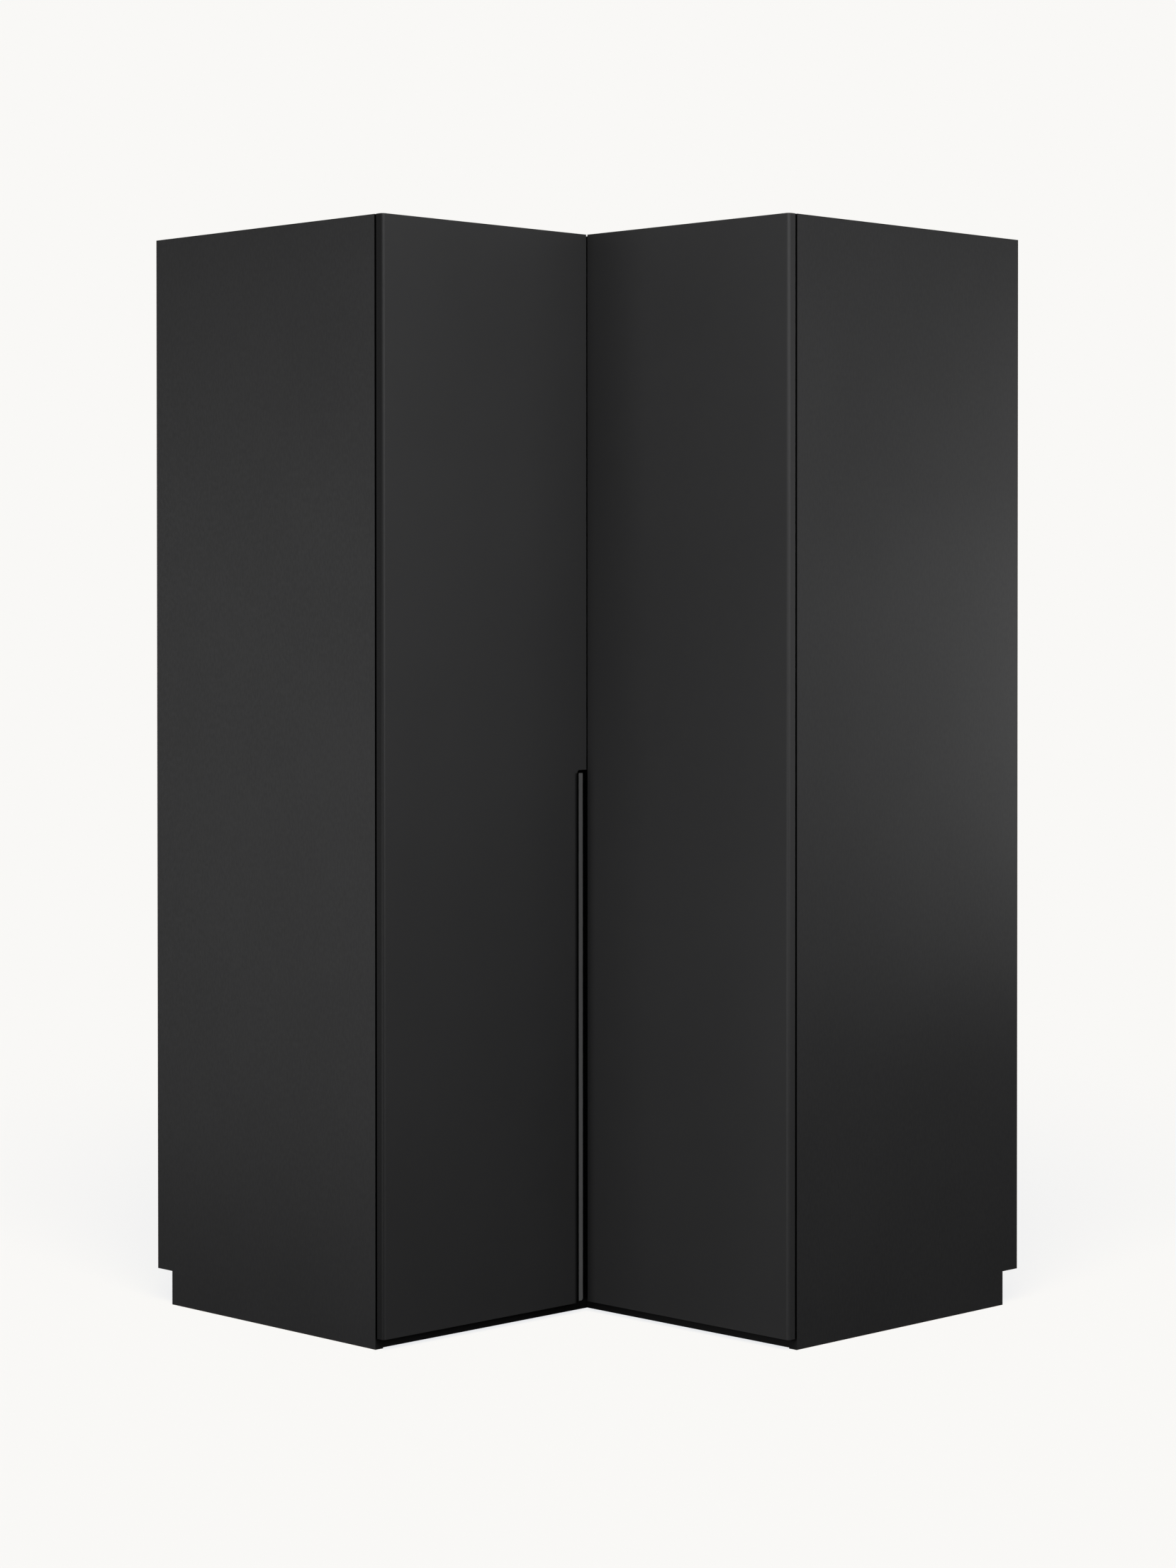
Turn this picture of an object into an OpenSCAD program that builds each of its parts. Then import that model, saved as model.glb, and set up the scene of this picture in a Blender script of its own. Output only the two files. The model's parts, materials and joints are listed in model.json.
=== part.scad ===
// Corner wardrobe with two hinged doors.
// The plan is an L with equal wings against two walls. The doors meet in its inner corner.
// Row frame: +Z up, origin on the floor under the middle of the square that the L fills.
// The walls are the planes x = -half_wall and y = +half_wall. The inner corner faces +X -Y.
// Wing space: u runs along a wing's front from its end panel's outer face, v points
// forward from the carcass front, and z is up.

/* [Overall] */
// Length along each wall
wall_length = 1146; // [1100:1:1300]
// Height from the floor to the top
height = 2000; // [1900:1:2360]
// Depth of each wing, from its wall to its carcass front
carcass_depth = 621; // [580:1:640]

/* [Boards] */
// Thickness of the end panels, top, bottom, shelf and posts
board = 18; // [18:1:19]
// Height of the bottom panel's underside over the floor
base_height = 63; // [60:1:80]
// Depth of the skirting cut-out at the rear of each end panel
skirting_depth = 43; // [20:1:50]
// Thickness of the back panels
back_thickness = 3; // [3:0.5:4]
// Distance of the back panels from the walls
back_inset = 10; // [8:1:14]
// Depth of the grooves that hold the back panels
groove_depth = 8; // [6:0.5:8]
// Side of the square post in the rear corner
rear_post = 50; // [44:1:60]
// Length of each leg of the post in the inner corner
inner_post_leg = 62; // [60:1:70]

/* [Plinth and feet] */
// Thickness of the plinth boards
plinth_thickness = 16; // [15:1:18]
// Distance of the plinth's face behind the carcass front
plinth_setback = 2.8; // [2:0.1:6]
// Gap under the plinth
plinth_lift = 1; // [0.5:0.5:2]
// Radius of a foot's pad
pad_r = 22; // [18:1:26]

/* [Doors] */
// Thickness of a door
door_thickness = 18; // [18:0.5:19]
// Gap between the carcass front and a door's back face
door_air = 3.5; // [3.5:0.1:4]
// Gap between a door's closing edge and the other door's front plane
seam = 1; // [1:0.1:2]
// Height of the doors' lower edge over the floor
door_bottom = 20; // [15:1:30]
// Radius of the doors' outer front edges
outer_edge_r = 6; // [3:0.5:8]
// Radius of the doors' outer back edges
back_edge_r = 2; // [2:0.5:3]
// Radius of the doors' closing edges
closing_edge_r = 0.8; // [0.5:0.1:1]

/* [Grip] */
// Width of the notch in the left door's closing edge
notch_width = 23.5; // [20:0.5:28]
// Height of the notch's upper end over the floor
notch_top = 1008.5; // [900:0.5:1100]
// Radius of the notch's inner corner
notch_corner_r = 4.5; // [2:0.5:6]
// Width of the grip profile's front flange
grip_width = 10; // [8:0.5:11]
// Wall thickness of the grip profile
grip_wall = 1.5; // [1.2:0.1:2]
// Gap between the grip flange and the other door's front plane
grip_opening = 10.6; // [9:0.1:12]
// Height of the grip profile's upper end over the floor
grip_top = 1002.5; // [890:0.5:1090]

/* [Hinges] */
// Heights of the hinges over the floor
hinge_heights = [120, 700, 1320, 1880];
// Radius of a hinge cup's bore in the door
cup_bore_r = 17.5; // [17.5:0.1:17.5]
// Depth of a hinge cup's bore
cup_depth = 13; // [12.5:0.1:13]
// Distance from the cup's bore to the door's outer edge
cup_edge = 4; // [3.5:0.1:4.5]
// Wall thickness of a cup
cup_wall = 0.8; // [0.6:0.1:1]
// Radius of a hinge pin
pin_r = 1.25; // [1:0.05:1.3]
// Radial clearance between a pin and its arm's eye
pin_clearance = 0.05; // [0.02:0.01:0.1]

/* [Interior] */
// Height of the hat shelf's underside over the floor
shelf_height = 1640; // [1500:1:1700]
// Distance of the hat shelf's front behind the carcass front
shelf_setback = 20; // [20:1:40]
// Distance of the clothes rails from the walls
rail_from_wall = 300; // [280:1:320]
// Drop of the clothes rails' centre under the hat shelf
rail_drop = 50; // [45:1:70]
// Length of each clothes rail, from the end panel's inner face
rail_length = 705; // [600:1:740]

/* [Hidden] */
$fn = 48;

// Overlap that makes a cut pass its face
cut = 1;
// Clearance of a fastener in its hole
play = 0.05;

half_wall = wall_length / 2;
front_plane = carcass_depth - half_wall;
base_top = base_height + board;
top_under = height - board;
inner_height = top_under - base_top;
door_front = front_plane + door_air + door_thickness;
door_width = half_wall - door_front - seam;
door_height = height - door_bottom;

// Back panels
groove_width = back_thickness + 0.2;
panel_in_groove = groove_depth - 1;
back_front = back_inset + back_thickness;
back_start = -half_wall + board - panel_in_groove;
back_end = half_wall - rear_post + panel_in_groove;
back_joint = (back_start + back_end) / 2;
strip_web = 1;
strip_flange = 1.2;
strip_width = 16;

// Corner fittings between the end panels and the top and bottom panels
cam_places = [-60, -310, -560];
dowel_places = [-120, -500];
cam_r = 7.5;
cam_depth = 12.5;
cam_reach = 34;
bolt_bore_r = 4;
bolt_thread_r = 2.5;
bolt_thread_depth = 11;
dowel_r = 4;
dowel_in_end = 12;
dowel_in_board = 20;

// Screws through the top and bottom panels into the posts
post_screw_r = 3.5;
post_screw_head_r = 5;
post_screw_length = 50;
cap_r = 6.5;
cap_thickness = 1;
rear_post_screws = [[-half_wall + 23, half_wall - 35], [-half_wall + 35, half_wall - 23]];
inner_post_screws = [[front_plane - board / 2, -front_plane - 32],
                     [front_plane + 32, -front_plane + board / 2]];

// Hinges, in wing space: the pin stands in the middle of the door's square outer edge
pivot_u = door_thickness / 2;
pivot_v = door_air + door_thickness / 2;
cup_u = cup_edge + cup_bore_r;
cup_lip = 1;
cup_lip_r = cup_bore_r + 0.8;
cup_screw_u = cup_u + 9.5;
cup_screw_z = 22.5;
ear = 3;
pin_reach = 9;
eye_r = 2.4;
eye_half_width = 4;
neck = 2.2;
neck_u = 20.9;
arm_top_u = 22.8;
arm_thickness = 2;
arm_half_width = 8;
arm_end_v = -62;
plate_screw_v = -37;
plate_screw_z = 16;
plate_thickness = 2;
plate_core_top = arm_top_u - 0.1;
arm_screw_v = -50;

// Wood screws with a pan head
screw_r = 2;
screw_head_r = 3.6;
screw_head = 1.5;
screw_length = 12;

// Grip profile, in wing space
notch_u = door_width - notch_width;
door_face_v = door_air + door_thickness;
grip_recess = 0.4;
grip_end_u = half_wall - door_front - grip_opening;
grip_start_u = grip_end_u - grip_width;
grip_web_depth = 7.5;
grip_lip = 4.5;
grip_bottom = door_bottom + 3;
grip_corner_r = 4.5;
grip_screw_heights = [90, 380, 670, 950];
grip_screw_v = door_air + 5;

// Door bumpers
bumper_r = 5;
bumper_inset = 8;
bumper_heights = [60, 1060, 1940];
bumper_gap = 0.2;

// Interior
rail_v = rail_from_wall - carcass_depth;
rail_z = shelf_height - rail_drop;
rail_r = 7.5;
rail_wall = 1.2;
rail_half = 7.5;
rail_end_u = board + rail_length;
socket_base = 3;
socket_depth = 15;
socket_screw_z = 26;
hanger_u = rail_end_u - 23;
hanger_width = 16;
hanger_screw_u = 14;
support_gap = 0.1;
support_width = 10;
support_thickness = 1.5;
support_tongue = 12;
support_pin_r = 2.5;
support_pin_depth = 8;
support_drop = 10;
support_places = [-100, -500];
hole_pitch = 32;

// Base
bracket_places = [130, 400];
bracket_leg = 25;
bracket_width = 30;
bracket_thickness = 2;
foot_places = [[-500, 500], [-500, -20], [20, 500], [0, 0]];
foot_spigot_r = 5;
foot_spigot = 8;
foot_flange_r = 24;
foot_thread_r = 5;

// Wall brackets under the top panel, and the holes for the wall screws
wall_bracket_places = [-400, 350];
wall_bracket_drop = 50;
wall_bracket_reach = 40;
wall_hole_r = 3;
wall_hole_z = top_under - 32;

door_black = "#2b2b2b";
panel_black = "#2e2e2e";
inside_black = "#262626";
grip_grey = "#4a4a4a";
steel = "#b8babd";
zinc = "#9a9ca0";
plastic_black = "#1c1c1c";
beech = "#c8a878";
clear_rubber = "#d8d8d4";

// ---------- Placement ----------

module in_left_wing() {
    translate([front_plane, -half_wall, 0]) mirror([1, -1, 0]) children();
}

module in_right_wing() {
    translate([half_wall, -front_plane, 0]) rotate([0, 0, 180]) children();
}

module in_both_wings() {
    in_left_wing() children();
    in_right_wing() children();
}

// A piece of the -X wall's wing and its twin across the diagonal
module with_twin() {
    children();
    mirror([1, 1, 0]) children();
}

// ---------- Shared shapes ----------

// Plan of a board that fills both wings, with gaps at the walls, end panels and front
module wing_plan(wall_gap, end_gap, front_gap) {
    wall = half_wall - wall_gap;
    end = half_wall - board - end_gap;
    front = front_plane - front_gap;
    polygon([[-wall, -end], [front, -end], [front, -front], [end, -front], [end, wall],
             [-wall, wall]]);
}

// What rounding takes off a square corner at the origin that fills +X +Y
module corner_waste(r) {
    difference() {
        translate([-cut, -cut]) square(r + cut);
        translate([r, r]) circle(r);
    }
}

// Upright oval with straight sides
module oval(r, half) {
    translate([0, half]) circle(r);
    translate([0, -half]) circle(r);
    translate([-r, -half]) square([2 * r, 2 * half]);
}

// Extrudes a v-z outline along u
module along_u(length) {
    rotate([90, 0, 90]) linear_extrude(length) children();
}

// Screw along -Z with the underside of its pan head at z = 0
module pan_screw(r = screw_r, head_r = screw_head_r, head = screw_head,
                 length = screw_length) {
    tip = 2 * r;
    difference() {
        union() {
            cylinder(h = head, r1 = head_r, r2 = head_r * 0.8);
            translate([0, 0, tip - length]) cylinder(h = length - tip, r = r - play);
            translate([0, 0, -length]) cylinder(h = tip, r1 = 0.3, r2 = r - play);
        }
        for (turn = [0, 90]) {
            rotate([0, 0, turn]) translate([-head_r / 2, -0.35, head * 0.35])
                cube([head_r, 0.7, head]);
        }
    }
}

// Hole for a pan screw, along -Z from z = 0
module screw_hole(r = screw_r, length = screw_length) {
    translate([0, 0, -length - 0.5]) cylinder(h = length + 0.5 + cut, r = r);
}

// ---------- Carcass ----------

module cam_bolt_holes() {
    for (v = cam_places, z = [base_height, top_under]) {
        translate([board - bolt_thread_depth, v, z + board / 2]) rotate([0, 90, 0])
            cylinder(h = bolt_thread_depth + cut, r = bolt_thread_r);
    }
}

module dowel_holes_in_end() {
    for (v = dowel_places, z = [base_height, top_under]) {
        translate([board - dowel_in_end - 0.5, v, z + board / 2]) rotate([0, 90, 0])
            cylinder(h = dowel_in_end + 0.5 + cut, r = dowel_r);
    }
}

module plate_screw_holes() {
    for (z = hinge_heights, side = [-1, 1]) {
        translate([board, plate_screw_v, z + side * plate_screw_z]) rotate([0, 90, 0])
            screw_hole();
    }
}

module support_holes() {
    for (v = support_places, step = [-1, 0, 1]) {
        translate([board - support_pin_depth - 0.5, v,
                   shelf_height - support_drop + step * hole_pitch])
            rotate([0, 90, 0])
            cylinder(h = support_pin_depth + 0.5 + cut, r = support_pin_r);
    }
}

module socket_screw_holes() {
    for (side = [-1, 1]) {
        translate([board, rail_v, rail_z + side * socket_screw_z]) rotate([0, 90, 0])
            screw_hole();
    }
}

module end_panel() {
    color(panel_black) difference() {
        translate([0, -carcass_depth, 0]) cube([board, carcass_depth, height]);
        translate([-cut, -carcass_depth - cut, -cut])
            cube([board + 2 * cut, skirting_depth + cut, base_height + cut]);
        translate([board - groove_depth, back_inset - carcass_depth - 0.1,
                   base_top - groove_depth])
            cube([groove_depth + cut, groove_width, inner_height + 2 * groove_depth]);
        cam_bolt_holes();
        dowel_holes_in_end();
        plate_screw_holes();
        support_holes();
        socket_screw_holes();
    }
}

module left_end_panel() in_left_wing() end_panel();
module right_end_panel() in_right_wing() end_panel();

// Bores for one wing's corner fittings in a board whose middle is at z = 0 and whose
// open side is below
module fitting_bores() {
    for (v = cam_places) {
        translate([board + cam_reach, v, -board / 2 - cut])
            cylinder(h = cam_depth + cut, r = cam_r);
        translate([board - cut, v, 0]) rotate([0, 90, 0])
            cylinder(h = cam_reach + cut, r = bolt_bore_r);
    }
    for (v = dowel_places) {
        translate([board - cut, v, 0]) rotate([0, 90, 0])
            cylinder(h = dowel_in_board + 0.5 + cut, r = dowel_r);
    }
}

// Grooves for both back panels, cut upward from z = 0
module back_grooves() {
    with_twin() translate([-half_wall + back_inset - 0.1, -half_wall + board - cut, -cut])
        cube([groove_width, wall_length - board - rear_post + groove_depth + cut,
              groove_depth + cut]);
}

module top_panel() {
    color(panel_black) difference() {
        translate([0, 0, top_under]) linear_extrude(board) wing_plan(0, 0, 0);
        translate([0, 0, top_under]) back_grooves();
        in_both_wings() translate([0, 0, top_under + board / 2]) fitting_bores();
        for (place = concat(rear_post_screws, inner_post_screws)) {
            translate([place.x, place.y, top_under - cut])
                cylinder(h = board + 2 * cut, r = post_screw_r);
            translate([place.x, place.y, height - cap_thickness - 3])
                cylinder(h = board, r = post_screw_head_r + play);
            translate([place.x, place.y, height - cap_thickness])
                cylinder(h = board, r = cap_r);
        }
        with_twin() for (y = wall_bracket_places, side = [-1, 1]) {
            translate([-half_wall + back_front + 25, y + side * 8, top_under])
                rotate([180, 0, 0]) screw_hole();
        }
    }
}

module bottom_panel() {
    color(inside_black) difference() {
        translate([0, 0, base_height]) linear_extrude(board) wing_plan(0, 0, 0);
        translate([0, 0, base_top]) mirror([0, 0, 1]) back_grooves();
        in_both_wings() translate([0, 0, base_height + board / 2]) fitting_bores();
        for (place = concat(rear_post_screws, inner_post_screws)) {
            translate([place.x, place.y, base_height - cut])
                cylinder(h = board + 2 * cut, r = post_screw_r);
            translate([place.x, place.y, base_height - cut])
                cylinder(h = 3 + cut, r = post_screw_head_r + play);
        }
        for (place = foot_places) {
            translate([place.x, place.y, base_height - cut])
                cylinder(h = foot_spigot + 0.5 + cut, r = foot_spigot_r);
        }
        in_both_wings() for (u = bracket_places) {
            translate([u, -plinth_setback - plinth_thickness - 15, base_height])
                rotate([180, 0, 0]) screw_hole();
        }
    }
}

module post_screw_bores(places) {
    bore = post_screw_length - board + 6;
    for (place = places) {
        translate([place.x, place.y, base_top - cut])
            cylinder(h = bore + cut, r = post_screw_r);
        translate([place.x, place.y, top_under - bore])
            cylinder(h = bore + cut, r = post_screw_r);
    }
}

// Bores for the shelf supports in a post, one support pointing along +X and its twin
module post_support_bores(x, y) {
    with_twin() translate([x - support_pin_depth - 0.5, y, shelf_height - support_drop])
        rotate([0, 90, 0]) cylinder(h = support_pin_depth + 0.5 + cut, r = support_pin_r);
}

module rear_corner_post() {
    color(inside_black) difference() {
        translate([-half_wall, half_wall - rear_post, base_top])
            cube([rear_post, rear_post, inner_height]);
        with_twin() translate([-half_wall + back_inset - 0.1, half_wall - rear_post - cut,
                               base_top - cut])
            cube([groove_width, groove_depth + cut, inner_height + 2 * cut]);
        post_screw_bores(rear_post_screws);
        post_support_bores(-half_wall + rear_post, half_wall - 29);
    }
}

module inner_post_plan() {
    front = front_plane;
    rear = front_plane - board;
    tip = front_plane + inner_post_leg;
    polygon([[rear, -tip], [front, -tip], [front, -front], [tip, -front], [tip, -rear],
             [rear, -rear]]);
}

module inner_corner_post() {
    color(inside_black) difference() {
        translate([0, 0, base_top]) linear_extrude(inner_height) inner_post_plan();
        post_screw_bores(inner_post_screws);
        with_twin() translate([front_plane - board, -front_plane - 20,
                               shelf_height - support_drop])
            rotate([0, -90, 0]) screw_hole(support_pin_r, support_pin_depth);
    }
}

// ---------- Back ----------

// One back panel along the -X wall, from y0 to y1
module back_panel(y0, y1) {
    color(inside_black) difference() {
        translate([-half_wall + back_inset, y0, base_top - panel_in_groove])
            cube([back_thickness, y1 - y0, inner_height + 2 * panel_in_groove]);
        for (y = wall_bracket_places) {
            translate([-half_wall + back_inset - cut, y, wall_hole_z]) rotate([0, 90, 0])
                cylinder(h = back_thickness + 2 * cut, r = wall_hole_r);
        }
    }
}

module back_panel_outer() back_panel(back_start, back_joint - strip_web / 2);
module back_panel_inner() back_panel(back_joint + strip_web / 2, back_end);
module left_back_panel_outer() back_panel_outer();
module left_back_panel_inner() back_panel_inner();
module right_back_panel_outer() mirror([1, 1, 0]) back_panel_outer();
module right_back_panel_inner() mirror([1, 1, 0]) back_panel_inner();

module back_joint_strips() {
    color(plastic_black) with_twin()
        translate([-half_wall + back_inset, back_joint, base_top + 0.5]) {
        translate([0, -strip_web / 2, 0]) cube([back_thickness, strip_web, inner_height - 1]);
        for (x = [-strip_flange, back_thickness]) {
            translate([x, -strip_width / 2, 0])
                cube([strip_flange, strip_width, inner_height - 1]);
        }
    }
}

// ---------- Interior ----------

module hanger_screw_holes() {
    in_both_wings() for (side = [-1, 1]) {
        translate([hanger_u + side * hanger_screw_u, rail_v, shelf_height])
            rotate([180, 0, 0]) screw_hole();
    }
}

module hat_shelf() {
    color(inside_black) difference() {
        translate([0, 0, shelf_height]) linear_extrude(board)
            wing_plan(back_front + 4, 0.5, shelf_setback);
        translate([-half_wall, half_wall - rear_post - 1, shelf_height - cut])
            cube([rear_post + 1, rear_post + 1, board + 2 * cut]);
        hanger_screw_holes();
    }
}

// Shelf support: its pin goes into a face at x = 0 that faces +X, and its tongue's top
// is at z = 0
module shelf_support() {
    translate([support_gap, -support_width / 2, -support_thickness])
        cube([support_tongue, support_width, support_thickness]);
    translate([support_gap, -support_width / 2, -support_drop - 4])
        cube([support_thickness, support_width, support_drop + 4]);
    translate([-support_pin_depth, 0, -support_drop]) rotate([0, 90, 0])
        cylinder(h = support_pin_depth + support_gap + 0.5, r = support_pin_r - play);
}

module shelf_supports() {
    color(steel) translate([0, 0, shelf_height]) {
        in_both_wings() for (v = support_places) {
            translate([board, v, 0]) shelf_support();
        }
        with_twin() {
            translate([-half_wall + rear_post, half_wall - 29, 0]) shelf_support();
            translate([front_plane - board, -front_plane - 20, 0]) mirror([1, 0, 0])
                shelf_support();
        }
    }
}

module clothes_rail() {
    color(steel) translate([board + socket_base + 0.1, rail_v, rail_z])
        along_u(rail_length - socket_base - 0.1) difference() {
            oval(rail_r, rail_half);
            oval(rail_r - rail_wall, rail_half);
        }
}

module left_clothes_rail() in_left_wing() clothes_rail();
module right_clothes_rail() in_right_wing() clothes_rail();

module rail_sockets() {
    color(zinc) in_both_wings() translate([board, rail_v, rail_z]) difference() {
        union() {
            along_u(socket_base) oval(10, socket_screw_z);
            along_u(socket_depth) oval(rail_r + 2.2, rail_half);
        }
        translate([socket_base, 0, 0]) along_u(socket_depth) oval(rail_r + play, rail_half);
        for (side = [-1, 1]) {
            translate([-cut, 0, side * socket_screw_z]) rotate([0, 90, 0])
                cylinder(h = socket_base + 2 * cut, r = screw_r);
        }
    }
}

module rail_hangers() {
    stem_bottom = rail_z + rail_half + rail_r + 1;
    color(zinc) in_both_wings() difference() {
        union() {
            translate([hanger_u - hanger_width / 2, rail_v, rail_z]) along_u(hanger_width)
                difference() {
                    oval(rail_r + 2.5, rail_half);
                    oval(rail_r + play, rail_half);
                }
            translate([hanger_u - 4, rail_v - 3, stem_bottom])
                cube([8, 6, shelf_height - stem_bottom - 1]);
            translate([hanger_u - 20, rail_v - 10, shelf_height - 3]) cube([40, 20, 3]);
        }
        for (side = [-1, 1]) {
            translate([hanger_u + side * hanger_screw_u, rail_v, shelf_height - 3 - cut])
                cylinder(h = 3 + 2 * cut, r = screw_r);
        }
    }
}

module rail_end_caps() {
    color(plastic_black) in_both_wings() translate([rail_end_u, rail_v, rail_z]) {
        along_u(2.5) oval(rail_r, rail_half);
        translate([-10, 0, 0]) along_u(10.5) difference() {
            oval(rail_r - rail_wall - play, rail_half);
            oval(rail_r - rail_wall - 1.5, rail_half);
        }
    }
}

module rail_screws() {
    color(steel) in_both_wings() for (side = [-1, 1]) {
        translate([board + socket_base, rail_v, rail_z + side * socket_screw_z])
            rotate([0, 90, 0]) pan_screw();
        translate([hanger_u + side * hanger_screw_u, rail_v, shelf_height - 3])
            rotate([180, 0, 0]) pan_screw();
    }
}

// ---------- Base ----------

plinth_face = front_plane - plinth_setback;
plinth_height = base_height - plinth_lift;

module plinth_screw_holes() {
    for (u = bracket_places) {
        translate([u, -plinth_setback - plinth_thickness, base_height - 15])
            rotate([90, 0, 0]) screw_hole();
    }
}

module left_plinth() {
    start = -half_wall + board;
    end = plinth_thickness - plinth_face;
    color(panel_black) difference() {
        translate([plinth_face - plinth_thickness, start, plinth_lift])
            cube([plinth_thickness, end - start, plinth_height]);
        in_left_wing() plinth_screw_holes();
    }
}

module right_plinth() {
    color(panel_black) difference() {
        translate([plinth_face, -plinth_face, plinth_lift])
            cube([half_wall - board - plinth_face, plinth_thickness, plinth_height]);
        in_right_wing() plinth_screw_holes();
    }
}

module plinth_brackets() {
    color(zinc) in_both_wings() for (u = bracket_places) {
        translate([u, -plinth_setback - plinth_thickness, base_height]) difference() {
            union() {
                translate([-bracket_width / 2, -bracket_thickness, -bracket_leg])
                    cube([bracket_width, bracket_thickness, bracket_leg]);
                translate([-bracket_width / 2, -bracket_leg, -bracket_thickness])
                    cube([bracket_width, bracket_leg, bracket_thickness]);
            }
            translate([0, cut, -15]) rotate([90, 0, 0])
                cylinder(h = bracket_thickness + 2 * cut, r = screw_r);
            translate([0, -15, -bracket_thickness - cut])
                cylinder(h = bracket_thickness + 2 * cut, r = screw_r);
        }
    }
}

module plinth_screws() {
    color(steel) in_both_wings() for (u = bracket_places) {
        translate([u, -plinth_setback - plinth_thickness, base_height]) {
            translate([0, -bracket_thickness, -15]) rotate([90, 0, 0]) pan_screw();
            translate([0, -15, -bracket_thickness]) rotate([180, 0, 0]) pan_screw();
        }
    }
}

module at_feet() {
    for (place = foot_places) {
        translate([place.x, place.y, 0]) children();
    }
}

module foot_sockets() {
    color(plastic_black) at_feet() difference() {
        union() {
            translate([0, 0, base_height - 4]) cylinder(h = 4, r = foot_flange_r);
            translate([0, 0, base_height - 32]) cylinder(h = 30, r1 = 9, r2 = 13);
            translate([0, 0, base_height - 1])
                cylinder(h = foot_spigot + 1, r = foot_spigot_r - play);
        }
        translate([0, 0, base_height - 33]) cylinder(h = 30, r = foot_thread_r);
    }
}

module foot_spindles() {
    color(steel) at_feet() difference() {
        translate([0, 0, 6]) cylinder(h = base_height - 16, r = foot_thread_r - play);
        translate([0, 0, base_height - 14]) cylinder(h = 10, r = 2.5, $fn = 6);
    }
}

module foot_pads() {
    color(plastic_black) at_feet() difference() {
        union() {
            cylinder(h = 4, r = pad_r);
            translate([0, 0, 4]) cylinder(h = 6, r1 = pad_r - 2, r2 = 9);
        }
        translate([0, 0, 6]) cylinder(h = 10, r = foot_thread_r);
    }
}

// ---------- Corner fittings ----------

// Runs its children in both wings, at the middle of the top and bottom panels' thickness
module at_board_joints() {
    in_both_wings() for (z = [base_height, top_under]) {
        translate([board, 0, z + board / 2]) children();
    }
}

module cam_locks() {
    color(zinc) at_board_joints() for (v = cam_places) {
        translate([cam_reach, v, -board / 2]) difference() {
            cylinder(h = cam_depth - 0.1, r = cam_r - play);
            translate([-cam_r - cut, -3.7, board / 2 - 3.7])
                cube([cam_r + 4 + cut, 7.4, cam_depth]);
            translate([0, 0, -cut]) cylinder(h = 3.5 + cut, r = 2.2, $fn = 6);
        }
    }
}

module cam_bolts() {
    color(steel) at_board_joints() for (v = cam_places) {
        translate([0, v, 0]) rotate([0, 90, 0]) {
            translate([0, 0, -bolt_thread_depth])
                cylinder(h = bolt_thread_depth + 1, r = bolt_thread_r - play);
            cylinder(h = cam_reach - 8, r = bolt_bore_r - 0.3);
            translate([0, 0, cam_reach - 9]) cylinder(h = 8, r = 2);
            translate([0, 0, cam_reach - 2]) cylinder(h = 4.5, r = 3.4);
        }
    }
}

module wood_dowels() {
    color(beech) at_board_joints() for (v = dowel_places) {
        translate([-dowel_in_end, v, 0]) rotate([0, 90, 0]) {
            cylinder(h = 1, r1 = dowel_r - 0.8, r2 = dowel_r - play);
            translate([0, 0, 1])
                cylinder(h = dowel_in_end + dowel_in_board - 2, r = dowel_r - play);
            translate([0, 0, dowel_in_end + dowel_in_board - 1])
                cylinder(h = 1, r1 = dowel_r - play, r2 = dowel_r - 0.8);
        }
    }
}

// Post screw along -Z with the top of its head at z = 0
module post_screw() {
    difference() {
        union() {
            translate([0, 0, -3]) cylinder(h = 3, r = post_screw_head_r);
            translate([0, 0, 3 - post_screw_length])
                cylinder(h = post_screw_length - 4, r = post_screw_r - play);
            translate([0, 0, -post_screw_length])
                cylinder(h = 3, r1 = 1, r2 = post_screw_r - play);
        }
        translate([0, 0, -2]) cylinder(h = 3, r = 2.3, $fn = 6);
    }
}

module post_screws() {
    color(steel) for (place = concat(rear_post_screws, inner_post_screws)) {
        translate([place.x, place.y, height - cap_thickness]) post_screw();
        translate([place.x, place.y, base_height]) mirror([0, 0, 1]) post_screw();
    }
}

module screw_caps() {
    color(plastic_black) for (place = concat(rear_post_screws, inner_post_screws)) {
        translate([place.x, place.y, height - cap_thickness])
            cylinder(h = cap_thickness, r = cap_r - play);
    }
}

// ---------- Wall brackets ----------

module wall_brackets() {
    color(zinc) with_twin() for (y = wall_bracket_places) {
        translate([-half_wall + back_front, y, top_under]) difference() {
            union() {
                translate([0, -15, -wall_bracket_drop]) cube([2, 30, wall_bracket_drop]);
                translate([0, -15, -2]) cube([wall_bracket_reach, 30, 2]);
            }
            translate([-cut, 0, wall_hole_z - top_under]) rotate([0, 90, 0])
                cylinder(h = 2 + 2 * cut, r = wall_hole_r);
            for (side = [-1, 1]) {
                translate([25, side * 8, -2 - cut]) cylinder(h = 2 + 2 * cut, r = screw_r);
            }
        }
    }
}

module wall_bracket_screws() {
    color(steel) with_twin() for (y = wall_bracket_places, side = [-1, 1]) {
        translate([-half_wall + back_front + 25, y + side * 8, top_under - 2])
            rotate([180, 0, 0]) pan_screw();
    }
}

// ---------- Doors ----------

// Door outline in plan, with rounded vertical edges
module door_plan() {
    difference() {
        translate([0, door_air]) square([door_width, door_thickness]);
        translate([0, door_air]) corner_waste(back_edge_r);
        translate([0, door_face_v]) mirror([0, 1]) corner_waste(outer_edge_r);
        translate([door_width, door_air]) mirror([1, 0]) corner_waste(closing_edge_r);
        translate([door_width, door_face_v]) rotate(180) corner_waste(closing_edge_r);
    }
}

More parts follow.
